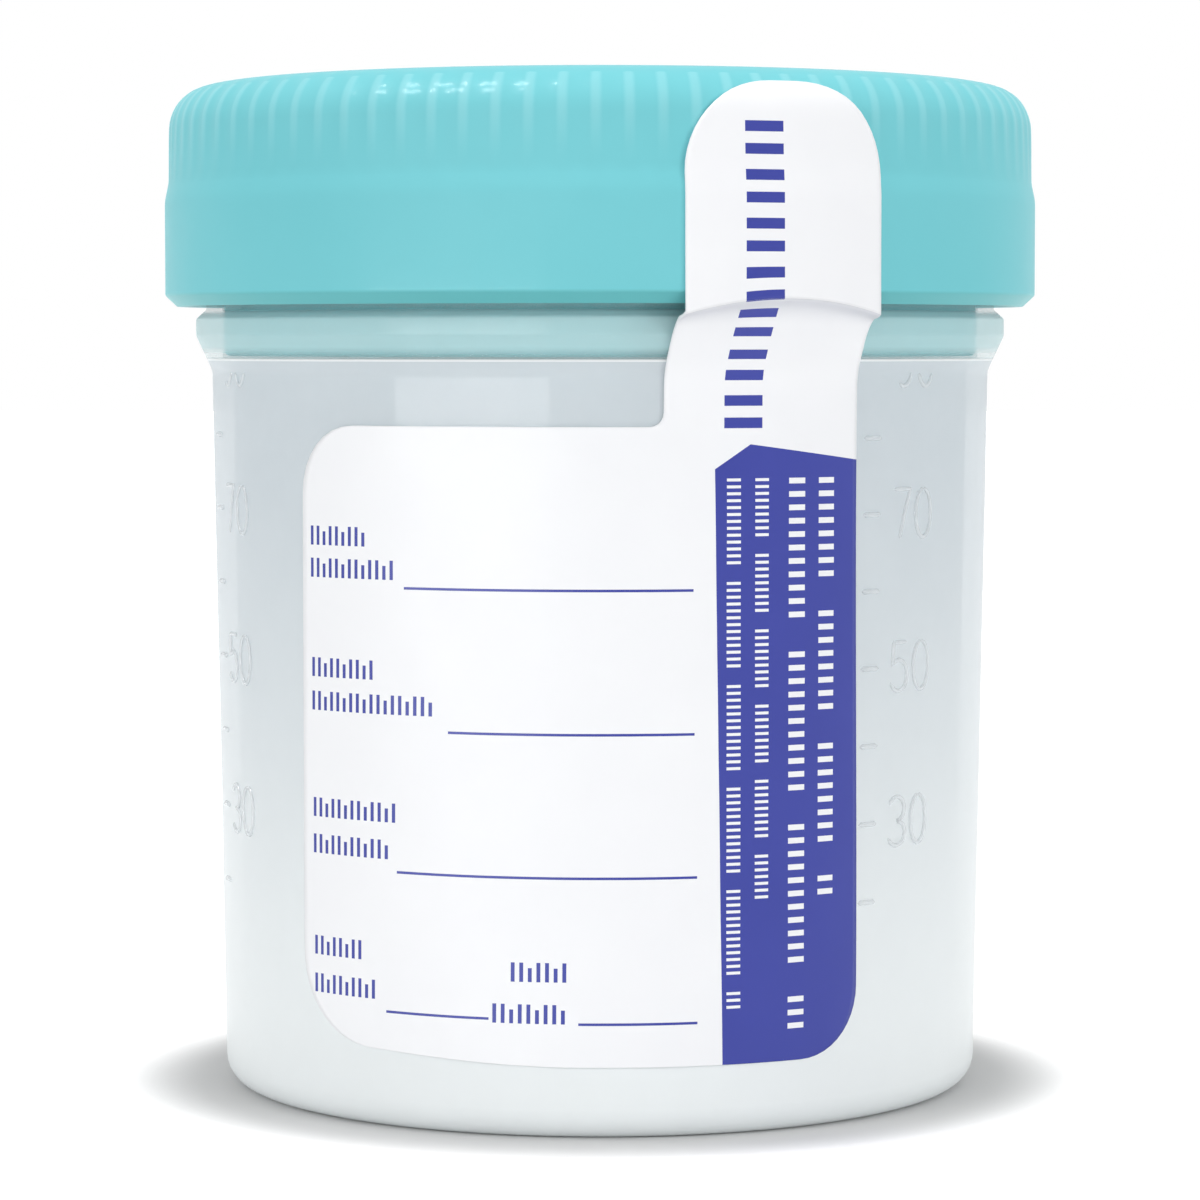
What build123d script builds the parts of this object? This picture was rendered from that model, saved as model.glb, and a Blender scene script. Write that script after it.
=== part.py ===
from build123d import *
from math import asin, cos, degrees, pi, radians, sin
import os

# Screw-top specimen container, in millimetres.
# The origin is the middle of the foot, on the surface that it stands on. +Z is up the axis, and
# the label faces -Y. An azimuth is counted from -Y, positive towards +X.

# Cup: one thin moulding
wall_thickness = 1.4
body_foot_radius = 26.0       # outer wall, at the height of the foot
body_top_radius = 26.8        # outer wall, where the flange cone starts
foot_recess = 2.6             # the floor's underside, above the foot ring
floor_thickness = 1.5
heel_radius = 1.9             # outer rounding down to the foot
foot_width = 0.8              # flat ring that the cup stands on
foot_draft = 0.3
inner_heel = 1.5              # chamfer where the wall meets the floor inside
ledge_height = 50.0           # inner step where the wall widens into the neck
ledge_width = 0.7
cone_lead = 0.8               # the flange cone starts this far below the ledge
cone_height = 2.4
flange_land = 1.15
flange_bevel = 0.65
flange_reach = 0.7            # the flange stands this far out of the neck
neck_wall = 1.1
neck_height = 13.6            # from the flange to the rim
rim_chamfer = 0.3

# Raised volume marks on the cup
mark_volumes = range(20, 90, 10)      # millilitres
mark_scale_azimuths = [39.8, -76.4]   # where each scale's marks start
mark_length = 1.4
mark_height = 0.35
mark_relief = 0.15

# Screw cap: one moulding, with the plug that seals inside the neck
thread_space = 1.2            # between the neck and the cap's bore, for the thread
skirt_wall = 1.6
plate_thickness = 1.5
seat_gap = 0.1                # rim to the underside of the plate
cap_gap = 0.2                 # flange to the cap's lower edge
plug_clearance = 0.15
plug_wall = 1.0
plug_end_gap = 0.2            # the plug stops this far above the ledge
plug_lead = 0.4
bevel_height = 0.75
bevel_width = 0.8
band_height = 7.5             # smooth band above the lower edge
band_step = 0.28              # from the band in to the foot of the grip ribs
cap_draft = 0.22
cap_edge_radius = 3.0
rib_count = 88
rib_relief = 0.13
rib_fill = 0.45               # share of the pitch that is rib
rib_root = 0.5                # the ribs start this deep in the cap's side
rib_run_out = 1.2             # height in which a rib sinks into the side, below the shoulder

# Label: one film whose narrow tab seals the cap
label_thickness = 0.15
glue_line = 0.05
label_bottom = 4.8
label_top_margin = 3.4        # below the start of the flange cone
label_left_azimuth = -47.6
tab_azimuth = 23.3
tab_width = 13.8
label_corner = 4.5
tab_root_corner = 0.9
tab_end_flat = 1.8            # straight stretch of the tab's end, between its round corners
tab_top_drop = 1.0            # the tab ends this far below the cap's top
tear_gap = 0.1                # between the two sides of the tear line
tear_drop = 0.35              # the tear line lies this far below the band's straight side

# Heights and radii that follow from the sizes above
floor_top = foot_recess + floor_thickness
cone_start = ledge_height - cone_lead
cone_top = cone_start + cone_height
flange_top = cone_top + flange_land + flange_bevel
rim_height = flange_top + neck_height
neck_bore = body_top_radius - wall_thickness + ledge_width
neck_radius = neck_bore + neck_wall
flange_radius = neck_radius + flange_reach

cap_bottom = flange_top + cap_gap
plate_underside = rim_height + seat_gap
cap_top = plate_underside + plate_thickness
cap_bore = neck_radius + thread_space
cap_radius = cap_bore + skirt_wall
band_top = cap_bottom + band_height
grip_radius = cap_radius - band_step
shoulder_radius = grip_radius - cap_draft
plug_radius = neck_bore - plug_clearance
plug_end = ledge_height + plug_end_gap

label_top = cone_start - label_top_margin
tear_height = cap_bottom + bevel_height - tear_drop


def wall_radius(z):
    """Outer radius of the cup's straight, tapered wall at a height."""
    return body_foot_radius + (body_top_radius - body_foot_radius) * z / cone_start


def volume_level(millilitres):
    """Height of the liquid in the tapered cavity, from the closed form for a cone's frustum."""
    start = wall_radius(floor_top) - wall_thickness
    slope = (body_top_radius - body_foot_radius) / cone_start
    heel_loss = pi * inner_heel ** 2 * (start - inner_heel / 3)
    volume = millilitres * 1000 + heel_loss
    if abs(slope) < 1e-6:
        return floor_top + volume / (pi * start ** 2)
    return floor_top + ((start ** 3 + 3 * slope * volume / pi) ** (1 / 3) - start) / slope


def half_section(points, roundings=(), chamfers=()):
    """Face of half a turned section in the XZ plane, with some corners rounded or chamfered."""
    face = make_face(Polyline(*points, close=True))
    for (x, z), radius in roundings:
        corner = face.vertices().sort_by_distance(Vector(x, z, 0))[0]
        face = fillet(corner, radius)
    for (x, z), length in chamfers:
        corner = face.vertices().sort_by_distance(Vector(x, z, 0))[0]
        face = chamfer(corner, length)
    return Plane.XZ * face


def turned_sector(section, start_azimuth, angle):
    """Part of a turn of a section, from an azimuth on."""
    return Rot(0, 0, start_azimuth - 90) * revolve(section, Axis.Z, angle)


def radial_plane(azimuth):
    """Plane through the axis that faces an azimuth: x runs round the cup, and y is up."""
    a = radians(azimuth)
    return Plane(origin=(0, 0, 0), x_dir=(cos(a), sin(a), 0), z_dir=(sin(a), -cos(a), 0))


def radial_prism(azimuth, outline):
    """Prism that reaches out from the axis, from an outline on the plane that faces an azimuth."""
    return extrude(radial_plane(azimuth) * outline, amount=2 * cap_radius)


def box_outline(left, right, low, high):
    """Rectangle between two sides and two heights."""
    return Pos((left + right) / 2, (low + high) / 2) * Rectangle(right - left, high - low)


def corner_trim(azimuth, z, side, end):
    """Cutter that rounds a corner of the film; side and end are -1 or 1 towards that corner."""
    turn = degrees(asin(label_corner / wall_radius(z)))
    spandrel = Pos(side * label_corner, end * label_corner) * Rectangle(2 * label_corner, 2 * label_corner)
    spandrel -= Circle(label_corner)
    return radial_prism(azimuth - side * turn, Pos(0, z - end * label_corner) * spandrel)


def film_section(path):
    """Section of the label film, laid on the outer side of a path that runs upwards."""
    return Plane.XZ * make_face(offset(path, label_thickness, side=Side.RIGHT, closed=True))


def build_cup():
    foot_inner = body_foot_radius - heel_radius - foot_width
    body_bore_top = body_top_radius - wall_thickness
    floor_radius = wall_radius(floor_top) - wall_thickness
    points = [
        (0, foot_recess),
        (foot_inner - foot_draft, foot_recess),
        (foot_inner, 0),
        (body_foot_radius, 0),
        (body_top_radius, cone_start),
        (flange_radius, cone_top),
        (flange_radius, cone_top + flange_land),
        (neck_radius, flange_top),
        (neck_radius, rim_height),
        (neck_bore, rim_height),
        (neck_bore, ledge_height),
        (body_bore_top, ledge_height),
        (floor_radius, floor_top),
        (0, floor_top),
    ]
    roundings = [((body_foot_radius, 0), heel_radius)]
    chamfers = [
        ((neck_radius, rim_height), rim_chamfer),
        ((neck_bore, rim_height), rim_chamfer),
        ((floor_radius, floor_top), inner_heel),
    ]
    body = revolve(half_section(points, roundings, chamfers), Axis.Z)

    marks = []
    for start in mark_scale_azimuths:
        for volume in mark_volumes:
            level = volume_level(volume)
            if level > cone_start - mark_height:
                continue
            radius = wall_radius(level)
            root = wall_thickness / 2
            bar = Pos(radius + (mark_relief - root) / 2, level) * Rectangle(root + mark_relief, mark_height)
            marks.append(turned_sector(Plane.XZ * bar, start, degrees(mark_length / radius)))
    return body + marks


def build_cap():
    points = [
        (0, cap_top),
        (shoulder_radius, cap_top),
        (grip_radius, band_top + band_step),
        (cap_radius, band_top),
        (cap_radius, cap_bottom + bevel_height),
        (cap_radius - bevel_width, cap_bottom),
        (cap_bore, cap_bottom),
        (cap_bore, plate_underside),
        (plug_radius, plate_underside),
        (plug_radius, plug_end + plug_lead),
        (plug_radius - plug_lead, plug_end),
        (plug_radius - plug_wall, plug_end),
        (plug_radius - plug_wall, plate_underside),
        (0, plate_underside),
    ]
    body = revolve(half_section(points, [((shoulder_radius, cap_top), cap_edge_radius)]), Axis.Z)

    # One grip rib: a sliver that follows the side's draft and sinks into it below the shoulder
    rib_bottom = band_top + band_step
    shoulder_start = cap_top - cap_edge_radius
    draft = (grip_radius - shoulder_radius) / (cap_top - rib_bottom)

    def side_radius(z):
        return grip_radius - draft * (z - rib_bottom)

    rib_points = [
        (grip_radius - rib_root, rib_bottom),
        (grip_radius + rib_relief, rib_bottom),
        (side_radius(shoulder_start - rib_run_out) + rib_relief, shoulder_start - rib_run_out),
        (side_radius(shoulder_start), shoulder_start),
        (grip_radius - rib_root, shoulder_start),
    ]
    rib_angle = 360 / rib_count * rib_fill
    rib = turned_sector(half_section(rib_points), -rib_angle / 2, rib_angle)
    ribs = [Rot(0, 0, 360 / rib_count * i) * rib for i in range(rib_count)]
    return body + ribs


def build_label():
    """The film on the cup, with the bend that crosses from the cup to the cap's lower edge."""
    half_tab = tab_width / 2
    path = Polyline(
        (wall_radius(label_bottom) + glue_line, label_bottom),
        (body_top_radius + glue_line, cone_start),
        (flange_radius + glue_line, cone_top),
        (cap_radius + glue_line, tear_height - tear_gap),
    )
    right_azimuth = tab_azimuth + degrees(asin(half_tab / wall_radius(label_bottom)))
    spare_turn = 5
    sweep = right_azimuth + spare_turn - label_left_azimuth
    film = turned_sector(film_section(path), label_left_azimuth, sweep)

    far = 3 * cap_radius
    beside_tab = box_outline(-far, -half_tab, label_top, cap_top)
    root_corner = beside_tab.vertices().sort_by_distance(Vector(-half_tab, label_top, 0))[0]
    film -= radial_prism(tab_azimuth, fillet(root_corner, tab_root_corner))
    film -= radial_prism(tab_azimuth, box_outline(half_tab, far, 0, cap_top))
    film -= corner_trim(label_left_azimuth, label_top, -1, 1)
    film -= corner_trim(label_left_azimuth, label_bottom, -1, -1)
    film -= corner_trim(right_azimuth, label_bottom, 1, -1)
    return film


def build_tab():
    """The film on the cap's side and shoulder, above the tear line."""
    side = cap_radius + glue_line
    rib_side = shoulder_radius + rib_relief + glue_line
    top = cap_top + glue_line
    path = FilletPolyline(
        (side, tear_height),
        (side, band_top),
        (rib_side, top),
        (rib_side - 2 * cap_edge_radius, top),
        radius=[1.0, cap_edge_radius],
    )
    film = turned_sector(film_section(path), tab_azimuth - 45, 90)
    low = tear_height - 1
    high = cap_top - tab_top_drop
    outline = box_outline(-tab_width / 2, tab_width / 2, low, high)
    outline = fillet(outline.vertices().group_by(Axis.Y)[-1], (tab_width - tab_end_flat) / 2)
    return film & radial_prism(tab_azimuth, outline)


parts = {
    "cup": build_cup(),
    "screw_cap": build_cap(),
    "patient_label": build_label(),
    "seal_tab": build_tab(),
}

os.makedirs("parts", exist_ok=True)
for name, solid in parts.items():
    export_step(solid, f"parts/{name}.step")
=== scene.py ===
"""Specimen container: the looks of a milky screw-top cup, its aqua cap and its label.

Lengths are in millimetres until a mesh is made, and the frame is in metres. +Z is up the axis.
An azimuth is counted from -Y, positive towards +X, so the label faces -Y.
"""

import bpy
import numpy as np
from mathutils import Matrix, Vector


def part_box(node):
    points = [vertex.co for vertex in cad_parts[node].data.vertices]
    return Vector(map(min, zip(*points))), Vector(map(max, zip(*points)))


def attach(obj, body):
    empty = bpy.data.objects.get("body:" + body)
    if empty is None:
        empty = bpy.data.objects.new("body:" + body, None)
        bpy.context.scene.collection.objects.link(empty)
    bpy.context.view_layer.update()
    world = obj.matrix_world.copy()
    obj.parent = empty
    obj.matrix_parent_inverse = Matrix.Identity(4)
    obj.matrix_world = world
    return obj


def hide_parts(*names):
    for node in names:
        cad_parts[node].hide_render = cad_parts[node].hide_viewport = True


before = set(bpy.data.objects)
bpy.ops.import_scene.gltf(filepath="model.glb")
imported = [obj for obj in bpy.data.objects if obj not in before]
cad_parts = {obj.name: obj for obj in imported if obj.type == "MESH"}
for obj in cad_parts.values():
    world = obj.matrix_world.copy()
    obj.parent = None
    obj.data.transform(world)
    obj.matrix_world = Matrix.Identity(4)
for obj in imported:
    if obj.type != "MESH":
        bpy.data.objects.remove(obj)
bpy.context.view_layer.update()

MM = 0.001


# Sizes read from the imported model

def node_box(node):
    """Lowest and highest corner of a node, in millimetres."""
    low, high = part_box(node)
    return np.array(low) / MM, np.array(high) / MM


cup_high = node_box("cup")[1]
cap_low, cap_high = node_box("screw_cap")
label_low, label_high = node_box("patient_label")

flange_radius = cup_high[0]
rim_height = cup_high[2]
cap_radius = cap_high[0]
cap_top = cap_high[2]
plug_end = cap_low[2]
label_bottom = label_low[2]
tear_height = label_high[2]


# Sizes of the cup
flange_reach = 0.7            # from the neck out to the flange
neck_radius = flange_radius - flange_reach
neck_wall = 1.1
neck_height = 13.6
flange_top = rim_height - neck_height
flange_bevel = 0.65
flange_land = 1.15
cone_top = flange_top - flange_bevel - flange_land
plug_end_gap = 0.2            # the plug stops this far above the ledge
ledge_height = plug_end - plug_end_gap
cone_lead = 0.8               # the flange's cone starts this far below the ledge
cone_start = ledge_height - cone_lead
wall_to_flange = 1.1          # from the top of the wall out to the flange
body_top_radius = flange_radius - wall_to_flange
wall_taper = 0.8              # from the foot out to the top of the wall
body_foot_radius = body_top_radius - wall_taper
wall_thickness = 1.4
foot_recess = 2.6
floor_top = 4.1
heel_radius = 1.9
foot_width = 0.8
foot_draft = 0.3
inner_heel = 1.6
gate_radius = 1.6             # the dimple under the floor where the plastic came in
gate_depth = 0.4
cup_columns = 288
thread_turns = 1.5
thread_pitch = 4.2
thread_height = 0.75
thread_half_width = 0.95
thread_lead = 2.4             # from the flange up to the start of the neck's thread
neck_thread_start = flange_top + thread_lead
cap_thread_start = neck_thread_start + thread_pitch / 2

# Sizes of the cap
cap_gap = 0.2                 # from the flange up to the cap's lower edge
cap_bottom = flange_top + cap_gap
thread_space = 1.2            # between the neck and the cap's bore
cap_bore = neck_radius + thread_space
plate_thickness = 1.5
plate_underside = cap_top - plate_thickness
plug_clearance = 0.15
plug_radius = neck_radius - neck_wall - plug_clearance
plug_wall = 1.0
bevel_height = 0.75
bevel_width = 0.8
band_height = 7.5
band_top = cap_bottom + band_height
band_step = 0.28
band_blend = 1.3              # height in which the side steps in, near the band's top
blend_start = band_top - 0.3
grip_radius = cap_radius - band_step
cap_draft = 0.22
shoulder_radius = grip_radius - cap_draft
cap_edge_radius = 3.0
rib_count = 88
rib_columns = 6               # columns of mesh to each rib
rib_relief = 0.1              # at the shoulder; it fades to a third at the band
rib_offset = -0.5             # azimuth of the rib nearest to the front, in degrees

# Sizes of the label
film_thickness = 0.15
glue_line = 0.05
label_top_margin = 3.4        # from the label's upper edge to the start of the flange's cone
label_top = cone_start - label_top_margin
tab_azimuth = 23.3
tab_half_width = 6.9
panel_left = -32.6            # across the film, from the tab's middle line
panel_skew = 0.75             # the lower edge rises by this much towards the left
lower_left_corner = 6.0
panel_fan = 0.5               # the right edge leans out by this much towards the bottom
label_corner = 4.5
tab_root_corner = 0.9
tab_corner = 6.0
tab_top_drop = 1.0
tear_slit = 0.004             # half the gap between the two sides of the tear line
fold_arch = 1.0               # the fold's two ends lie this much lower than its middle
fold_reach = 1.7              # the arch and the pucker fade out over this length of film
pucker_height = 0.06
ripple_height = 0.035
film_shift = 40               # the print coordinates are (across + shift, up) / span
film_span = 100

# Sizes of the volume scale
mark_volumes = range(20, 90, 10)
number_volumes = (30, 50, 70, 90)
number_height = 3.2
number_width = 1.75           # one digit
number_gap = 0.55             # between two digits
number_stroke = 0.15          # radius of the raised line
mark_length = 1.6
mark_radius = 0.17
ridge_sides = 8
scales = [
    {"marks_from": 39.8, "numbers_at": 50.4},
    {"marks_from": -76.4, "numbers_at": -66.1},
]


def wall_radius(z):
    """Outer radius of the tapered wall: a straight line from the foot to the flange cone."""
    return body_foot_radius + (body_top_radius - body_foot_radius) * z / cone_start


def volume_level(millilitres):
    """Height of a volume in the tapered cavity: the frustum's volume, solved for its height."""
    start = wall_radius(floor_top) - wall_thickness
    slope = (body_top_radius - body_foot_radius) / cone_start
    volume = millilitres * 1000 + np.pi * inner_heel ** 2 * (start - inner_heel / 3)
    return floor_top + ((start ** 3 + 3 * slope * volume / np.pi) ** (1 / 3) - start) / slope


# Surfaces

def smooth_step(x, low, high):
    """0 below low and 1 above high, with the cubic 3t^2 - 2t^3 between."""
    t = np.clip((x - low) / (high - low), 0, 1)
    return t * t * (3 - 2 * t)


def rounded_path(corners, arc_step=12, support=0.12):
    """Points along straight runs joined by arcs, as an array of (r, z).

    A corner is (r, z, rounding, rows), and rows divide the run that ends there. An arc of radius
    rounding touches both runs at rounding * tan(turn / 2) from the corner. Each run has a point
    close to each end, so that smooth shading stays flat along it.
    """
    spots = np.array([corner[:2] for corner in corners], float)
    path = [spots[0]]
    for i in range(1, len(corners)):
        rounding = corners[i][2] if len(corners[i]) > 2 else 0
        rows = corners[i][3] if len(corners[i]) > 3 else 1
        before = spots[i] - spots[i - 1]
        before /= np.hypot(*before)
        arc = np.empty((0, 2))
        end = spots[i]
        if rounding and i < len(corners) - 1:
            after = spots[i + 1] - spots[i]
            after /= np.hypot(*after)
            cross = before[0] * after[1] - before[1] * after[0]
            turn = np.arctan2(cross, before @ after)
            side = np.sign(turn)
            end = spots[i] - before * rounding * np.tan(abs(turn) / 2)
            centre = end + side * rounding * np.array([-before[1], before[0]])
            steps = max(2, int(np.ceil(np.degrees(abs(turn)) / arc_step)))
            angles = np.linspace(0, turn, steps + 1)[:, None]
            spoke = end - centre
            normal = np.array([-spoke[1], spoke[0]])
            arc = centre + np.cos(angles) * spoke + np.sin(angles) * normal
        start = path[-1]
        length = np.hypot(*(end - start))
        stops = np.linspace(0, 1, rows + 1)[1:-1]
        if length > 4 * support:
            stops = np.unique(np.concatenate([stops, [support / length, 1 - support / length]]))
        path += [start + (end - start) * stop for stop in stops]
        path += list(arc) if len(arc) else [end]
    return np.array(path)


def path_normals(path):
    """Unit normals on the right-hand side of a path, from central differences."""
    tangent = np.gradient(path, axis=0)
    tangent /= np.maximum(np.hypot(tangent[:, 0], tangent[:, 1]), 1e-9)[:, None]
    return np.stack([tangent[:, 1], -tangent[:, 0]], axis=1)


def new_mesh_piece(name, vertices, faces, finish):
    """An object at the origin from vertices in millimetres, shaded smooth, with one finish."""
    mesh = bpy.data.meshes.new(name)
    mesh.from_pydata((np.asarray(vertices) * MM).tolist(), [], faces)
    mesh.polygons.foreach_set("use_smooth", np.ones(len(mesh.polygons), bool))
    mesh.materials.append(finish)
    mesh.update()
    piece = bpy.data.objects.new(name, mesh)
    bpy.context.scene.collection.objects.link(piece)
    return piece


def grid_faces(rows, columns, closed_columns):
    """Quads of a grid of rows by columns, as an array of four indices each."""
    index = np.arange(rows * columns).reshape(rows, columns)
    following = np.roll(index, -1, axis=1)
    quads = np.stack([index[:-1], following[:-1], following[1:], index[1:]], axis=-1)
    if not closed_columns:
        quads = quads[:, :-1]
    return quads.reshape(-1, 4)


def turned_piece(name, path, columns, relief, finish):
    """A closed turned shell: x = R sin(a), y = -R cos(a), where R and z are the path's point moved
    by relief(row, azimuth) along the path's normal. The path starts and ends on the axis."""
    azimuth = np.arange(columns) * 2 * np.pi / columns
    inner = path[1:-1]
    normals = path_normals(path)[1:-1]
    height = relief(inner, azimuth)
    radius = inner[:, :1] + height * normals[:, :1]
    z = inner[:, 1:] + height * normals[:, 1:]
    ring = np.stack([radius * np.sin(azimuth), -radius * np.cos(azimuth), z], axis=-1)
    rows = len(inner)
    vertices = np.concatenate([ring.reshape(-1, 3), [[0, 0, path[0, 1]], [0, 0, path[-1, 1]]]])
    faces = grid_faces(rows, columns, True).tolist()
    first = np.arange(columns)
    last = first + (rows - 1) * columns
    start_pole = np.full(columns, rows * columns)
    faces += np.stack([start_pole, np.roll(first, -1), first], axis=1).tolist()
    faces += np.stack([last, np.roll(last, -1), start_pole + 1], axis=1).tolist()
    return new_mesh_piece(name, vertices, faces, finish)


def thread_ridge(z, azimuth, start, turns):
    """Height of a right-handed thread: the root of a raised cosine across the ridge, along the
    helix z = start + pitch * azimuth / full turn, that fades in and out over a tenth of a turn."""
    height = np.zeros(np.broadcast_shapes(z.shape, azimuth.shape))
    for lap in range(int(np.ceil(turns))):
        along = azimuth / (2 * np.pi) + lap
        across = (z - start - thread_pitch * along) / thread_half_width
        ridge = np.where(np.abs(across) < 1, 0.5 + 0.5 * np.cos(np.pi * np.clip(across, -1, 1)), 0)
        fade = smooth_step(along, 0, 0.1) * (1 - smooth_step(along, turns - 0.1, turns))
        height += thread_height * np.sqrt(ridge) * fade
    return height


# Finishes

class Wire:
    """A socket inside a Python expression: each operator adds its Math node."""

    def __init__(self, finish, socket):
        self.finish = finish
        self.socket = socket

    def math(self, operation, *values):
        return self.finish.node("ShaderNodeMath", {"operation": operation}, values)

    def __add__(self, other):
        return self.math("ADD", self, other)

    def __radd__(self, other):
        return self.math("ADD", other, self)

    def __sub__(self, other):
        return self.math("SUBTRACT", self, other)

    def __rsub__(self, other):
        return self.math("SUBTRACT", other, self)

    def __mul__(self, other):
        return self.math("MULTIPLY", self, other)

    def __rmul__(self, other):
        return self.math("MULTIPLY", other, self)

    def __mod__(self, other):
        return self.math("FLOORED_MODULO", self, other)

    def __lt__(self, other):
        return self.math("LESS_THAN", self, other)

    def __gt__(self, other):
        return self.math("GREATER_THAN", self, other)

    def __abs__(self):
        return self.math("ABSOLUTE", self)

    def root(self):
        return self.math("SQRT", self)

    def cosine(self):
        return self.math("COSINE", self)


class Finish:
    """A material in the making: its shader, its constants, and one method for every node."""

    def __init__(self, name, constants):
        self.material = bpy.data.materials.new(name)
        self.material.use_nodes = True
        self.tree = self.material.node_tree
        self.shader = self.tree.nodes["Principled BSDF"]
        for socket, value in constants.items():
            self.shader.inputs[socket].default_value = value

    def feed(self, socket, value):
        if isinstance(value, Wire):
            self.tree.links.new(value.socket, socket)
        else:
            socket.default_value = value

    def node(self, kind, settings=None, inputs=(), output=0):
        """Adds a node: its settings first, then the values or links of its sockets."""
        node = self.tree.nodes.new(kind)
        for key, value in (settings or {}).items():
            setattr(node, key, value)
        pairs = inputs.items() if isinstance(inputs, dict) else enumerate(inputs)
        for key, value in pairs:
            self.feed(node.inputs[key], value)
        return Wire(self, node.outputs[output])

    def set(self, socket, value):
        self.feed(self.shader.inputs[socket], value)

    def place(self):
        """Object coordinates as a vector, in metres."""
        return self.node("ShaderNodeTexCoord", output="Object")

    def parts_of(self, vector):
        """The x, y and z of a vector, in millimetres."""
        scaled = self.node("ShaderNodeVectorMath", {"operation": "SCALE"}, {0: vector, "Scale": 1 / MM})
        return [self.node("ShaderNodeSeparateXYZ", inputs=[scaled], output=i) for i in range(3)]

    def radius_and_height(self, vector):
        """The distance from the axis and the height, in millimetres."""
        x, y, z = self.parts_of(vector)
        return (x * x + y * y).root(), z

    def azimuth(self, vector):
        """The azimuth, in radians."""
        x, y, z = self.parts_of(vector)
        return self.node("ShaderNodeMath", {"operation": "ARCTAN2"}, [x, 0 - y])

    def noise(self, vector, size, detail=2.0, roughness=0.5):
        """Noise from 0 to 1 whose blotches are about so many millimetres across."""
        inputs = {"Vector": vector, "Scale": 1 / (size * MM), "Detail": detail, "Roughness": roughness}
        return self.node("ShaderNodeTexNoise", inputs=inputs)

    def ease(self, value, low, high):
        """0 below low and 1 above high, smooth between."""
        inputs = {"Value": value, "From Min": low, "From Max": high}
        return self.node("ShaderNodeMapRange", {"interpolation_type": "SMOOTHSTEP"}, inputs)

    def mix(self, factor, first, second):
        """Colour between two colours."""
        return self.node("ShaderNodeMix", {"data_type": "RGBA"}, {0: factor, 6: first, 7: second}, output=2)

    def bump(self, height, strength, distance):
        """Normal from a height; the distance is in millimetres."""
        inputs = {"Height": height, "Strength": strength, "Distance": distance * MM}
        return self.node("ShaderNodeBump", inputs=inputs)


def colour(red, green, blue):
    """A colour given in display values of 0 to 255, as the linear values that a shader takes."""
    shown = np.array([red, green, blue]) / 255
    linear = np.where(shown <= 0.04045, shown / 12.92, ((shown + 0.055) / 1.055) ** 2.4)
    return (*linear.tolist(), 1.0)


def cap_finish():
    """Aqua polypropylene: soft gloss, faint flow clouds, a fine grain, rib crests with a painted
    highlight, a painted shade on the bevel, and a plug painted paler as painted light."""
    crest_highlight_strength = 0.35
    finish = Finish("aqua_plastic", {"Coat Roughness": 0.1, "IOR": 1.5, "Specular IOR Level": 0.06})
    place = finish.place()
    radius, z = finish.radius_and_height(place)
    clouds = finish.noise(place, 14, 3)
    grain = finish.noise(place, 0.35, 3, 0.6)
    body = finish.mix(clouds, colour(117, 204, 212), colour(127, 210, 218))
    # Painted highlight: the rib crests are painted paler, in place of the light that the ribs would catch.
    wave = (rib_count * (finish.azimuth(place) - np.radians(rib_offset))).cosine()
    crest = finish.ease(wave, 0.2, 1) * finish.ease(z, band_top + 1, cap_top - 1.5)
    body = finish.mix(crest_highlight_strength * crest * (radius > cap_bore), body, colour(168, 228, 234))
    # Painted shade: the downward-facing bevel under the cap's lower edge is painted darker.
    bevel_top = cap_bottom + bevel_height
    bevel_shade = 1 - finish.ease(z, bevel_top - 0.1, bevel_top + 0.2)
    body = finish.mix(bevel_shade, body, colour(106, 190, 194))
    # Painted light: the plug is painted paler, to make up for the dim light it gets inside the cup.
    plug_painted_light = (radius < plug_radius + 0.2) * (z < plate_underside + 0.01)
    finish.set("Base Color", finish.mix(plug_painted_light, body, colour(146, 232, 238)))
    finish.set("Roughness", 0.36 + 0.1 * finish.noise(place, 3.0))
    finish.set("Coat Weight", 0.07)
    finish.set("Normal", finish.bump(grain, 0.12, 0.02))
    return finish.material


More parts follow.
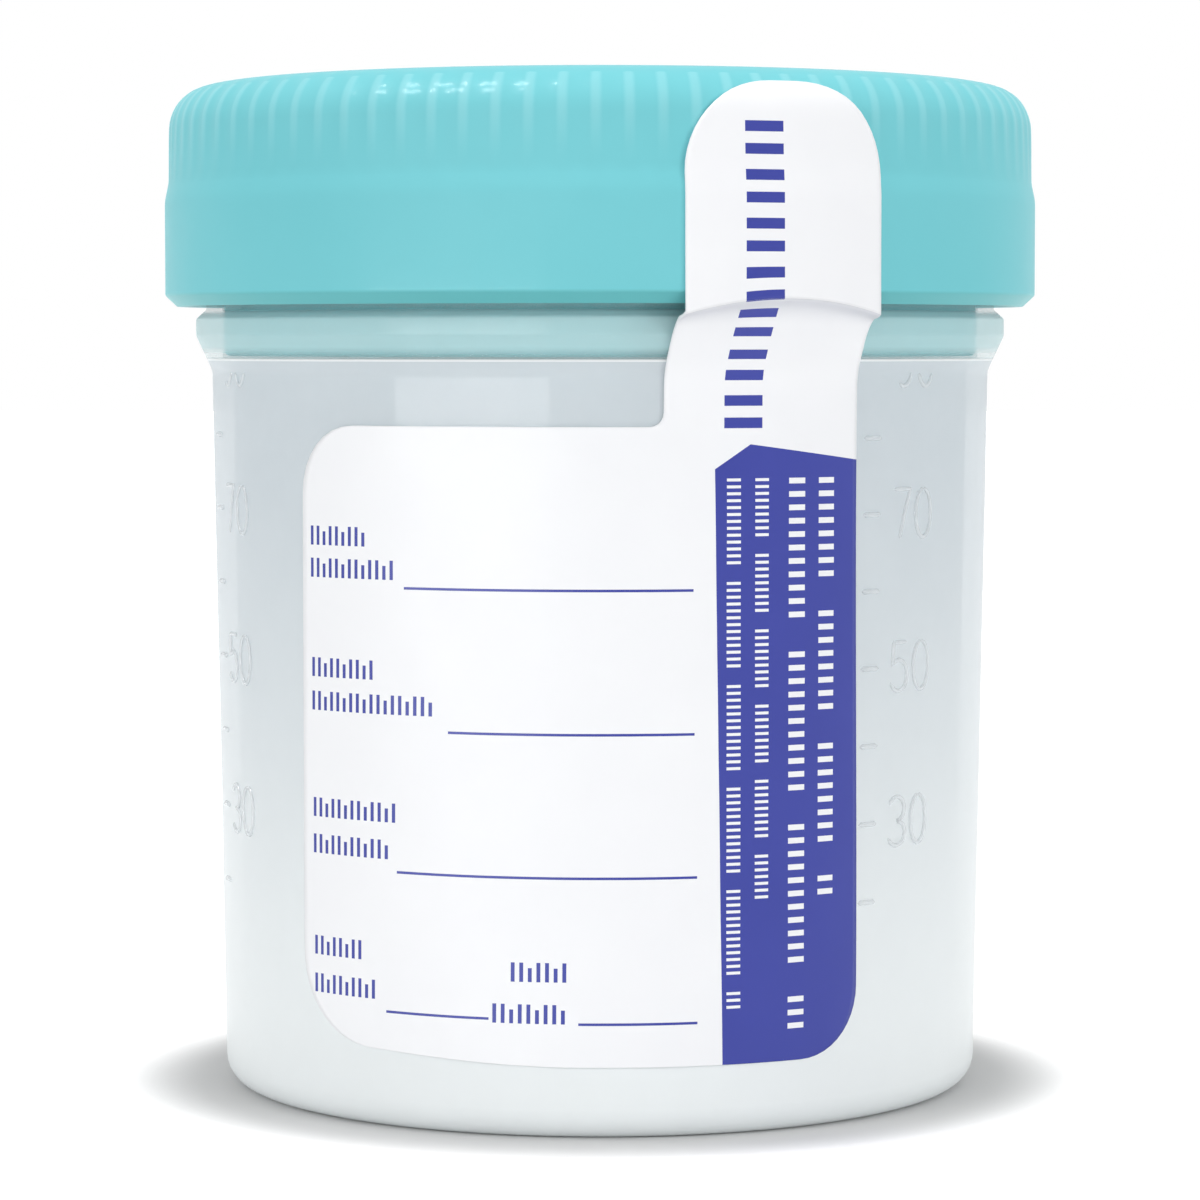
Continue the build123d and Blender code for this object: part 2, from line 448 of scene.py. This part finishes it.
def cup_finish():
    """Natural polypropylene: milky, thin enough to see the plug through, and cloudier in places.
    The wall below the ledge hides more than the thin neck does, and more so towards the foot, where
    it is also painted paler as painted light. A painted highlight runs along the ledge."""
    thin_alpha = 0.22
    cloud_alpha = 0.06
    wall_alpha = 0.46
    low_wall_alpha = 0.2
    ledge_alpha = 0.3
    flange_alpha = 0.35
    neck_alpha = 0.25
    finish = Finish("milky_plastic", {"Coat Roughness": 0.04, "IOR": 1.5, "Specular IOR Level": 0.06})
    place = finish.place()
    radius, z = finish.radius_and_height(place)
    clouds = finish.noise(place, 9, 4, 0.6)
    streaks = finish.noise(place, 1.6, 3)
    # Painted highlight: a thin line at the ledge is painted white, and is also more opaque.
    ledge_highlight_line = 1 - finish.ease(abs(z - ledge_height), 0.03, 0.13)
    flange = finish.ease(radius, neck_radius + 0.1, neck_radius + 0.4)
    thick = 1 - finish.ease(z, ledge_height - 0.1, ledge_height + 0.1)
    # Painted light: the wall is painted paler towards the foot, in place of the light from the floor, and
    # it is also more opaque there.
    foot_light_and_opacity = 1 - finish.ease(z, 2, ledge_height - 2)
    neck = finish.ease(z, flange_top, flange_top + 1.5)
    clear = finish.mix(clouds, colour(226, 236, 242), colour(233, 241, 246))
    thin = finish.mix(clouds, colour(216, 246, 249), colour(222, 248, 251))
    thin = finish.mix(flange, thin, colour(208, 240, 243))
    thin = finish.mix(neck, thin, clear)
    milk_with_foot_light = finish.mix(foot_light_and_opacity, clear, colour(249, 254, 255))
    body = finish.mix(thick, thin, milk_with_foot_light)
    finish.set("Base Color", finish.mix(ledge_highlight_line, body, colour(250, 253, 254)))
    solid = wall_alpha * thick + low_wall_alpha * foot_light_and_opacity * thick
    solid = solid + ledge_alpha * ledge_highlight_line + flange_alpha * flange + neck_alpha * neck
    finish.set("Alpha", thin_alpha + cloud_alpha * clouds + solid)
    finish.set("Roughness", 0.34 + 0.14 * clouds + 0.05 * streaks)
    finish.set("Coat Weight", 0.12)
    finish.set("Normal", finish.bump(streaks, 0.1, 0.05))
    return finish.material


def numeral_finish():
    """The raised lines of the scale: the same plastic, thicker and so whiter."""
    finish = Finish("raised_plastic", {"Coat Roughness": 0.12, "IOR": 1.5})
    clouds = finish.noise(finish.place(), 0.8, 2)
    finish.set("Base Color", finish.mix(clouds, colour(236, 241, 244), colour(246, 249, 251)))
    finish.set("Alpha", 0.4 + 0.15 * clouds)
    finish.set("Roughness", 0.3 + 0.1 * clouds)
    finish.set("Coat Weight", 0.4)
    return finish.material


# Print on the label, in millimetres across the film from the tab's middle line and up the film
blue_left_top = -3.55
blue_left_bottom = -2.7
blue_shoulder = 43.1
blue_peak_across = -1.15
blue_peak_height = 44.67
blue_right_height = 43.6
rule_weight = 0.17
rules = [  # left, right and height
    (-24.0, -4.9, 35.4), (-20.8, -4.75, 26.2), (-24.5, -4.5, 17.0),
    (-25.3, -17.95, 7.85), (-12.1, -4.4, 7.6),
]
captions = [  # left, right and lower edge
    (-31.8, -26.7, 38.0), (-31.8, -24.4, 35.9), (-31.7, -26.3, 29.4), (-31.7, -21.6, 27.2),
    (-31.6, -24.3, 20.2), (-31.6, -24.9, 17.8), (-31.5, -26.9, 11.1), (-31.5, -25.7, 8.6),
    (-16.5, -12.4, 10.3), (-17.7, -12.5, 7.6),
]
caption_height = 1.25
caption_pitch = 0.56
caption_fill = 0.46
caption_low_share = 0.72      # every third bar is only this high
bands = [  # fine bars on the blue field: left, right, low, high, pitch, and bars to a group
    (-2.75, -1.8, 8.0, 42.5, 0.44, 15),
    (-0.8, 0.15, 15.4, 42.5, 0.44, 11),
    (1.6, 2.8, 6.5, 42.5, 0.86, 13),
    (3.85, 5.05, 14.9, 42.5, 0.86, 10),
]
band_fill = 0.42
band_gap = 2                  # bars left out at the end of each group
band_lean = 0.008
seal_bars_left = -2.95
seal_bars_right = -0.35
seal_bars_low = 45.7
seal_bars_pitch = 3.05
seal_bars_count = 7
seal_bar_weight = 0.68
seal_bar_gap = 0.74


def label_finish():
    """White film stock: a blue pointed field, writing rules, plain bars in place of words, and a painted
    shade under the fold.
    """
    finish = Finish("label_film", {"Coat Roughness": 0.25, "IOR": 1.45})
    place = finish.place()
    uv = finish.node("ShaderNodeUVMap", {"uv_map": "film"})
    u = finish.node("ShaderNodeSeparateXYZ", inputs=[uv], output=0)
    v = finish.node("ShaderNodeSeparateXYZ", inputs=[uv], output=1)
    across = u * film_span - film_shift
    up = v * film_span

    def block(left, right, low, high):
        return (across > left) * (across < right) * (up > low) * (up < high)

    lean = (blue_left_bottom - blue_left_top) / (blue_shoulder - label_bottom)
    edge = across + lean * up - (blue_left_top + lean * blue_shoulder)
    left_slope = (blue_peak_height - blue_shoulder) / (blue_peak_across - blue_left_top)
    right_slope = (blue_right_height - blue_peak_height) / (tab_half_width - blue_peak_across)
    under_left = up - left_slope * across - (blue_peak_height - left_slope * blue_peak_across)
    under_right = up - right_slope * across - (blue_peak_height - right_slope * blue_peak_across)
    field = (edge > 0) * (under_left < 0) * (under_right < 0)

    ink = field
    slanted = across + band_lean * (up - blue_shoulder)
    for left, right, low, high, pitch, group in bands:
        low = high - pitch * round((high - low) / pitch)
        down = high - up
        bars = (down % pitch) < pitch * band_fill
        groups = (down % (pitch * group)) < pitch * (group - band_gap)
        column = (slanted > left) * (slanted < right)
        ink = ink - column * (up > low) * (up < high) * bars * groups
    for left, right, height in rules:
        ink = ink + block(left, right, height - rule_weight / 2, height + rule_weight / 2)
    for left, right, low in captions:
        bar_count = round((right - left) / caption_pitch)
        right = left + bar_count * caption_pitch
        bars = ((across - left) % caption_pitch) < caption_pitch * caption_fill
        tall = ((across - left) % (3 * caption_pitch)) < 2 * caption_pitch
        inside = (up - low) < caption_height * (caption_low_share + (1 - caption_low_share) * tall)
        ink = ink + block(left, right, low, low + caption_height) * bars * inside
    for i in range(seal_bars_count):
        low = seal_bars_low + i * seal_bars_pitch
        for step in (0, seal_bar_weight + seal_bar_gap):
            ink = ink + block(seal_bars_left, seal_bars_right, low + step, low + step + seal_bar_weight)

    fibres = finish.noise(place, 0.25, 3, 0.6)
    patches = finish.noise(place, 6, 2)
    paper = finish.mix(patches, colour(244, 245, 248), colour(249, 250, 252))
    # Painted shade: the film just under the fold is painted greyer.
    below_fold = fold_height() - up
    fold_shade = (1 - finish.ease(below_fold, 0.2, 2.4)) * (below_fold > 0)
    fold_shade_strength = 0.5
    paper = finish.mix(fold_shade_strength * fold_shade, paper, colour(196, 199, 208))
    blue = finish.mix(patches, colour(42, 54, 150), colour(50, 61, 158))
    finish.set("Base Color", finish.mix(ink, paper, blue))
    finish.set("Roughness", 0.5 - 0.12 * ink + 0.08 * fibres)
    finish.set("Coat Weight", 0.08)
    finish.set("Normal", finish.bump(fibres, 0.08, 0.02))
    return finish.material


def film_back_finish():
    """The film's back and edges: plain white stock with dull glue."""
    finish = Finish("film_back", {"IOR": 1.45})
    patches = finish.noise(finish.place(), 3, 3)
    finish.set("Base Color", finish.mix(patches, colour(232, 234, 238), colour(242, 243, 246)))
    finish.set("Roughness", 0.6 + 0.15 * patches)
    return finish.material


# Cup

def cup_path():
    """Section of the cup, from the middle of its underside, up the outside and down the inside."""
    foot_inner = body_foot_radius - heel_radius - foot_width
    neck_bore = neck_radius - neck_wall
    floor_radius = wall_radius(floor_top) - wall_thickness
    return rounded_path([
        (0, foot_recess + gate_depth),
        (gate_radius, foot_recess + gate_depth, 0.3),
        (gate_radius + 0.5, foot_recess, 0.3),
        (foot_inner - foot_draft, foot_recess, 0.6, 4),
        (foot_inner, 0, 0.3, 2),
        (body_foot_radius, 0, heel_radius),
        (body_top_radius, cone_start, 1.2, 24),
        (flange_radius, cone_top, 0.5, 3),
        (flange_radius, cone_top + flange_land, 0.25, 2),
        (neck_radius, flange_top, 0.15, 2),
        (neck_radius, rim_height, 0.4, 64),
        (neck_bore, rim_height, 0.4),
        (neck_bore, ledge_height, 0.25, 8),
        (body_top_radius - wall_thickness, ledge_height, 0.2, 2),
        (floor_radius, floor_top, inner_heel, 16),
        (0, floor_top, 0, 5),
    ])


def cup_relief(path, azimuth):
    """Thread on the neck, and a slow waviness on the wall: two sines round and up it, which fade out
    above the heel and below the ledge."""
    radius = path[:, :1]
    z = path[:, 1:]
    on_neck = (radius > neck_radius - 0.01) & (z > flange_top - 0.3) & (z < rim_height)
    thread = thread_ridge(z, azimuth, neck_thread_start, thread_turns) * on_neck
    on_wall = smooth_step(z, 6, 12) * (1 - smooth_step(z, 40, 47)) * (radius > 20)
    slow_wave = 0.02 * np.sin(3 * azimuth + 0.11 * z)
    quick_wave = 0.012 * np.sin(7 * azimuth - 0.23 * z + 1.3)
    return thread + (slow_wave + quick_wave) * on_wall


# Cap

def cap_outer_path():
    """The cap's outer section, from its lower edge up the side and over the top to the axis."""
    return rounded_path([
        (cap_bore + 0.4, cap_bottom),
        (cap_radius - bevel_width, cap_bottom, 0.12),
        (cap_radius, cap_bottom + bevel_height, 0.3),
        (cap_radius, blend_start, 3, 6),
        (grip_radius, blend_start + band_blend, 3, 4),
        (shoulder_radius, cap_top, cap_edge_radius, 8),
        (0, cap_top, 0, 9),
    ], arc_step=8)


def cap_inner_path():
    """The cap's inner section, from the axis under the plate, round the plug and down the bore."""
    return rounded_path([
        (0, plate_underside),
        (plug_radius - plug_wall, plate_underside, 0.8, 6),
        (plug_radius - plug_wall, plug_end, 0.3, 4),
        (plug_radius, plug_end, 0.4),
        (plug_radius, plate_underside, 0.4, 4),
        (cap_bore, plate_underside, 0.5),
        (cap_bore, cap_bottom, 0.4, 42),
        (cap_bore + 0.8, cap_bottom),
    ])


def cap_path():
    """The cap's closed section: inside first, then outside."""
    inner = cap_inner_path()[:-1]
    outer = cap_outer_path()
    return np.concatenate([inner, outer[1:]])


def cap_relief(path, azimuth):
    """Soft grip ribs that start above the band and melt into the top, and the thread inside. A rib
    is a raised cosine round the cap, to the power of 1.5."""
    radius = path[:, :1]
    z = path[:, 1:]
    outside = (radius > cap_bore + 0.3) | (z > plate_underside + 0.05)
    band_share = 0.33
    rise = smooth_step(z, band_top + 0.6, band_top + 1.4)
    growth = smooth_step(z, band_top + 1, cap_top - cap_edge_radius)
    rise = rise * (band_share + (1 - band_share) * growth)
    sink = smooth_step(radius, shoulder_radius - cap_edge_radius + 0.3, shoulder_radius - 0.6)
    wave = 0.5 + 0.5 * np.cos(rib_count * (azimuth - np.radians(rib_offset)))
    ribs = rib_relief * rise * sink * wave ** 1.5 * outside
    in_bore = (np.abs(radius - cap_bore) < 0.01) & (z < plate_underside - 0.4)
    thread = thread_ridge(z, azimuth, cap_thread_start, thread_turns) * in_bore
    return ribs + thread


# Label

def film_path():
    """The film's outer side from the label's bottom to past the tab's end: up the wall, out from
    the cone to the cap's edge, up the band, over the rib crests and round the shoulder."""
    proud = glue_line + film_thickness
    crest = rib_relief + proud
    flange_lift = 0.1
    flare_inset = 0.7
    flare_drop = 0.6
    return rounded_path([
        (wall_radius(label_bottom) + proud, label_bottom),
        (body_top_radius + proud, cone_start, 4.0, 40),
        (flange_radius + proud + flange_lift, cone_top - 0.1, 1.5, 6),
        (cap_radius - flare_inset, tear_height - flare_drop, 0.3, 6),
        (cap_radius + proud, tear_height, 0, 3),
        (cap_radius + proud, band_top - 0.6, 4, 8),
        (grip_radius + crest, band_top + 1.5, 4, 4),
        (shoulder_radius + crest, cap_top + crest, cap_edge_radius + crest, 6),
        (shoulder_radius - 2 * cap_edge_radius, cap_top + crest, 0, 8),
    ], arc_step=6)


def film_lines():
    """The film path with the length along it, which equals the height on the wall."""
    path = film_path()
    steps = np.hypot(*np.diff(path, axis=0).T)
    return np.concatenate([[0], np.cumsum(steps)]) + label_bottom, path


def fold_height():
    """Where the film folds and is parted, as a length along it."""
    length, path = film_lines()
    return length[np.argmin(np.abs(path[:, 1] - tear_height))]


def corner_inset(distance, radius):
    """How far a rounded corner draws an edge in, at a distance from the end of the piece."""
    reach = np.clip(radius - distance, 0, radius)
    return radius - np.sqrt(radius ** 2 - reach ** 2)


def corner_rows(end, radius, count, direction):
    """Rows that close up towards a rounded end: end + direction * radius * (1 - cos)."""
    return end + direction * radius * (1 - np.cos(np.linspace(0, np.pi / 2, count)))


def film_surface(across, up):
    """Point of the film: its azimuth is the tab's plus across / radius, and its section the path.
    A ripple, the product of two sines, lifts it off the wall except at its left and right edges,
    and near the fold a bell curve arches and puckers it."""
    length, path = film_lines()
    radius = np.interp(up, length, path[:, 0])
    z = np.interp(up, length, path[:, 1])
    ripple = np.sin(0.5 * across + 0.31 * up) * np.sin(0.23 * across - 0.2 * up + 0.8)
    ripple = ripple_height * ripple
    near_fold = np.exp(-((up - fold_height()) / fold_reach) ** 2)
    z = z - fold_arch * near_fold * (across / tab_half_width) ** 2
    pucker = pucker_height * near_fold * np.sin(1.15 * across + 0.6)
    panel_middle = -13
    edge = smooth_step(np.abs(across - panel_middle), 17, 20)
    radius = radius + np.abs(ripple) * (1 - edge) + np.abs(pucker) * (1 - 0.5 * edge)
    azimuth = np.radians(tab_azimuth) + across / radius
    return np.stack([radius * np.sin(azimuth), -radius * np.cos(azimuth), z], axis=-1)


def film_piece(name, across, up, faces):
    """A film with thickness from a grid of (across, up), with its print coordinates."""
    used = np.unique(faces)
    renumber = np.zeros(across.size, int)
    renumber[used] = np.arange(len(used))
    flat_across = across.ravel()[used]
    flat_up = up.ravel()[used]
    faces = renumber[faces]
    piece = new_mesh_piece(name, film_surface(flat_across, flat_up), faces.tolist(), label_film)
    piece.data.materials.append(film_back)
    corners = faces.ravel()
    layer = piece.data.uv_layers.new(name="film")
    uv = np.stack([flat_across[corners] + film_shift, flat_up[corners]], axis=1) / film_span
    layer.uv.foreach_set("vector", uv.astype(np.float32).ravel())
    wall = piece.modifiers.new("thickness", "SOLIDIFY")
    wall.thickness = (film_thickness + glue_line) * MM
    wall.offset = -1
    wall.material_offset = 1
    wall.material_offset_rim = 1
    return piece


def label_panel():
    """The film on the cup: the panel, and the tab's root that crosses to the cap's edge. Its grid
    has the panel's columns on the left and the tab's on the right, and above the panel's top only
    the tab's are kept."""
    fold = fold_height() - tear_slit
    corner = corner_rows(label_bottom, lower_left_corner, 14, 1)
    top_corner = corner_rows(label_top, label_corner, 9, -1)[::-1]
    root = corner_rows(label_top, tab_root_corner, 6, 1)
    middle = np.linspace(corner[-1], top_corner[0], 60)[1:-1]
    upper = np.linspace(root[-1], fold, 24)[1:]
    rows = np.concatenate([corner, middle, top_corner, root[1:], upper])
    fan = panel_fan * smooth_step(label_top - rows, 0, 40)
    left = panel_left + corner_inset(rows - label_bottom, lower_left_corner)
    left = left + corner_inset(np.maximum(label_top - rows, 0), label_corner)
    right = tab_half_width + fan - corner_inset(rows - label_bottom, label_corner)
    shared = -tab_half_width - np.where(
        rows <= label_top,
        tab_root_corner,
        corner_inset(rows - label_top, tab_root_corner),
    )
    panel_columns = 48
    tab_columns = 40
    panel_part = np.linspace(0, 1, panel_columns + 1)
    tab_part = np.linspace(0, 1, tab_columns + 1)
    panel_across = left[:, None] + (shared - left)[:, None] * panel_part
    tab_across = shared[:, None] + (right - shared)[:, None] * tab_part
    across = np.concatenate([panel_across, tab_across[:, 1:]], axis=1)
    low_share = np.clip((label_top - rows) / (label_top - label_bottom), 0, 1)[:, None]
    up = rows[:, None] + panel_skew * low_share * smooth_step(-across, 12, 33)
    faces = grid_faces(*across.shape, False)
    row = faces[:, 0] // across.shape[1]
    column = faces[:, 0] % across.shape[1]
    above = rows[row] > label_top - 1e-6
    keep = ~(above & (column < panel_columns))
    return film_piece("label_panel", across, up, faces[keep])


def label_tab():
    """The film on the cap: the seal's end, with two round corners."""
    length, path = film_lines()
    fold = fold_height() + tear_slit
    top_row = np.argmin(np.abs(path[:, 1] - (cap_top - tab_top_drop + glue_line)))
    end = length[top_row]
    corner = corner_rows(end, tab_corner, 14, -1)[::-1]
    straight = np.linspace(fold, corner[0], 40)[:-1]
    rows = np.concatenate([straight, corner])
    half = tab_half_width - corner_inset(end - rows, tab_corner)
    across = half[:, None] * np.linspace(-1, 1, 45)
    up = np.broadcast_to(rows[:, None], across.shape)
    return film_piece("label_tab", across, np.array(up), grid_faces(*across.shape, False))


# Volume scale

def arc(centre_x, centre_y, half_width, half_height, start, end, count=20):
    """Points of an ellipse's arc between two angles in degrees, counted from +x to +y."""
    angle = np.radians(np.linspace(start, end, count))
    x = centre_x + half_width * np.cos(angle)
    y = centre_y + half_height * np.sin(angle)
    return np.stack([x, y], axis=1)


def digit_line(digit):
    """The single line that draws a 0, 3, 5, 7 or 9 in a cell one wide and one high."""
    if digit == "0":
        return arc(0.5, 0.5, 0.5, 0.5, 90, 450, 40)
    if digit == "3":
        top = arc(0.45, 0.75, 0.45, 0.25, 160, -90)
        bottom = arc(0.45, 0.25, 0.5, 0.25, 90, -160)
        return np.concatenate([top, bottom[1:]])
    if digit == "5":
        stem = np.array([[0.9, 1.0], [0.12, 1.0], [0.06, 0.56]])
        return np.concatenate([stem, arc(0.42, 0.32, 0.5, 0.32, 130, -155, 26)])
    if digit == "7":
        return np.array([[0.0, 1.0], [0.95, 1.0], [0.6, 0.5], [0.35, 0.0]])
    loop = arc(0.48, 0.7, 0.46, 0.3, 0, 360, 34)
    tail = arc(0.44, 0.5, 0.5, 0.5, 0, -120, 18)
    return np.concatenate([loop, tail])


def spread(line, step):
    """The same line with points evenly spaced, about a step apart."""
    length = np.concatenate([[0], np.cumsum(np.hypot(*np.diff(line, axis=0).T))])
    even = np.linspace(0, length[-1], max(3, int(length[-1] / step) + 1))
    return np.stack([np.interp(even, length, line[:, 0]), np.interp(even, length, line[:, 1])], axis=1)


def raised_line(line, azimuth, radius):
    """A ridge along a line wrapped on the wall: a round section sunk by half, closed at both ends.

    A point (s, h) of the line lies at azimuth + s / wall radius and at height h. The section is a
    circle of the given radius round it, on the wall's surface, and narrows at the line's two ends.
    """
    tangent = np.gradient(line, axis=0)
    tangent /= np.hypot(tangent[:, 0], tangent[:, 1])[:, None]
    side = np.stack([-tangent[:, 1], tangent[:, 0]], axis=1)
    around = np.linspace(0, 2 * np.pi, ridge_sides, endpoint=False)
    taper = np.sqrt(1 - np.abs(np.linspace(-1, 1, len(line))) ** 24 * 0.96)[:, None]
    offset = radius * taper * np.cos(around)
    proud = radius * taper * np.sin(around)
    across = line[:, :1] + side[:, :1] * offset
    z = line[:, 1:] + side[:, 1:] * offset
    shell = wall_radius(z) + proud
    angle = np.radians(azimuth) + across / wall_radius(z)
    points = np.stack([shell * np.sin(angle), -shell * np.cos(angle), z], axis=-1)
    rows, columns = across.shape
    faces = grid_faces(rows, columns, True)[:, ::-1].tolist()
    faces += [list(range(columns)), list(range(rows * columns - 1, (rows - 1) * columns - 1, -1))]
    return points.reshape(-1, 3), faces


def scale_lines():
    """Every line of both scales, each with the azimuth that it is drawn from. The highest number
    runs out where the flange's cone starts."""
    pitch = number_width + number_gap
    for scale in scales:
        for volume in mark_volumes:
            level = volume_level(volume)
            mark = np.array([[0.0, level], [mark_length, level]])
            yield spread(mark, 0.2), scale["marks_from"], mark_radius
        for volume in number_volumes:
            level = volume_level(volume)
            for i, digit in enumerate(str(volume)):
                left = (i - 1) * pitch + number_gap / 2
                line = digit_line(digit) * [number_width, number_height] + [left, level - number_height / 2]
                line = spread(line, 0.16)
                ends = np.flatnonzero(np.diff(line[:, 1] < cone_start)) + 1
                for run in np.split(line, ends):
                    if len(run) > 3 and run[0, 1] < cone_start:
                        yield run, scale["numbers_at"], number_stroke


def volume_scale():
    """The raised marks and numbers of both scales, as one piece."""
    vertices = []
    faces = []
    total = 0
    for line, azimuth, radius in scale_lines():
        points, quads = raised_line(line, azimuth, radius)
        vertices.append(points)
        faces += [[index + total for index in quad] for quad in quads]
        total += len(points)
    return new_mesh_piece("volume_scale", np.concatenate(vertices), faces, raised_plastic)


# Pieces

milky_plastic = cup_finish()
raised_plastic = numeral_finish()
aqua_plastic = cap_finish()
label_film = label_finish()
film_back = film_back_finish()

cup_shell = turned_piece("cup_shell", cup_path(), cup_columns, cup_relief, milky_plastic)
cap_shell = turned_piece("cap_shell", cap_path(), rib_count * rib_columns, cap_relief, aqua_plastic)
panel = label_panel()
tab = label_tab()
numbers = volume_scale()

for piece, body, slot in [
    (cup_shell, "container", "cup_plastic"),
    (numbers, "container", "cup_plastic"),
    (panel, "container", "label_film"),
    (cap_shell, "cap", "cap_plastic"),
    (tab, "cap", "label_film"),
]:
    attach(piece, body)
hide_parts("cup")
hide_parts("patient_label")
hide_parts("screw_cap")
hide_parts("seal_tab")


# Studio

floor_reach = 3.0             # half the floor's side, in metres
floor_base = 0.76
floor_near = 27.5             # the floor's white starts this far from the axis, in millimetres
floor_far = 40.0              # and is full this far out
ambient_level = 0.54
lens_length = 129.43          # for a sensor 36 mm wide
camera_distance = 0.300       # from the axis, in metres
camera_height = 0.05102
camera_tilt = 0.0592          # down, in radians
seen_rays = ["Is Camera Ray", "Is Glossy Ray", "Is Transmission Ray"]


def studio_floor():
    """A pale floor that keeps the object's shadow near its foot, and glows white to the camera further out:
    painted light that hides any shadow beyond floor_far.
    """
    finish = Finish("studio_floor", {"Roughness": 1.0, "Specular IOR Level": 0.0})
    radius = finish.radius_and_height(finish.place())[0]
    rays = [finish.node("ShaderNodeLightPath", output=name) for name in seen_rays]
    finish.set("Base Color", (floor_base, floor_base, floor_base, 1))
    finish.set("Emission Color", (1, 1, 1, 1))
    # Painted light: from floor_near outward the floor glows white to the camera, hiding any shadow there.
    finish.set("Emission Strength", sum(rays) * finish.ease(radius, floor_near, floor_far))
    corners = [(-1, -1), (1, -1), (1, 1), (-1, 1)]
    mesh = bpy.data.meshes.new("floor")
    mesh.from_pydata([(x * floor_reach, y * floor_reach, 0) for x, y in corners], [], [(0, 1, 2, 3)])
    mesh.materials.append(finish.material)
    floor = bpy.data.objects.new("floor", mesh)
    bpy.context.scene.collection.objects.link(floor)


def studio_world():
    """White for the camera, for gloss and for what shows through; softer for the light it sheds."""
    world = bpy.data.worlds.new("studio")
    world.use_nodes = True
    tree = world.node_tree
    background = tree.nodes["Background"]
    path = tree.nodes.new("ShaderNodeLightPath")
    seen = path.outputs[seen_rays[0]]
    for name in seen_rays[1:]:
        either = tree.nodes.new("ShaderNodeMath")
        either.use_clamp = True
        tree.links.new(seen, either.inputs[0])
        tree.links.new(path.outputs[name], either.inputs[1])
        seen = either.outputs[0]
    level = tree.nodes.new("ShaderNodeMapRange")
    level.inputs["To Min"].default_value = ambient_level
    level.inputs["To Max"].default_value = 1.0
    tree.links.new(seen, level.inputs["Value"])
    tree.links.new(level.outputs["Result"], background.inputs["Strength"])
    background.inputs["Color"].default_value = (1, 1, 1, 1)
    bpy.context.scene.world = world


def softbox(name, azimuth, distance, height, width, tall, power, aim, in_gloss=False):
    """A rectangular lamp, in metres, that faces a point on the axis. It sheds light, or else it only
    shows in gloss."""
    lamp = bpy.data.lights.new(name, "AREA")
    lamp.shape = "RECTANGLE"
    lamp.size = width
    lamp.size_y = tall
    lamp.energy = power
    holder = bpy.data.objects.new(name, lamp)
    angle = np.radians(azimuth)
    holder.location = (distance * np.sin(angle), -distance * np.cos(angle), height)
    away = holder.location - Vector((0, 0, aim))
    holder.rotation_euler = away.to_track_quat("Z", "Y").to_euler()
    holder.visible_diffuse = not in_gloss
    holder.visible_glossy = in_gloss
    bpy.context.scene.collection.objects.link(holder)


def camera():
    """The photograph's view: a long lens at the height of the flange, tilted a little down."""
    lens = bpy.data.cameras.new("camera")
    lens.sensor_width = 36
    lens.lens = lens_length
    view = bpy.data.objects.new("camera", lens)
    view.location = (0, -camera_distance, camera_height)
    view.rotation_euler = (np.pi / 2 - camera_tilt, 0, 0)
    bpy.context.scene.collection.objects.link(view)
    bpy.context.scene.camera = view


studio_floor()
studio_world()
softbox("overhead", 0, 0.02, 0.9, 0.14, 0.14, 3.2, 0.03)
softbox("left_fill", -50, 0.8, 0.24, 0.4, 0.3, 1.75, 0.05)
softbox("right_fill", 50, 0.8, 0.24, 0.4, 0.3, 1.75, 0.05)
softbox("low_window", -37, 0.5, 0.03, 0.42, 0.05, 1.2, 0.03, in_gloss=True)
softbox("window_row", -55, 0.6, 0.74, 0.26, 0.14, 6.0, 0.06, in_gloss=True)
softbox("window_row_above", -62, 0.42, 0.92, 0.26, 0.14, 6.0, 0.06, in_gloss=True)
camera()
bpy.context.scene.view_settings.view_transform = "Standard"
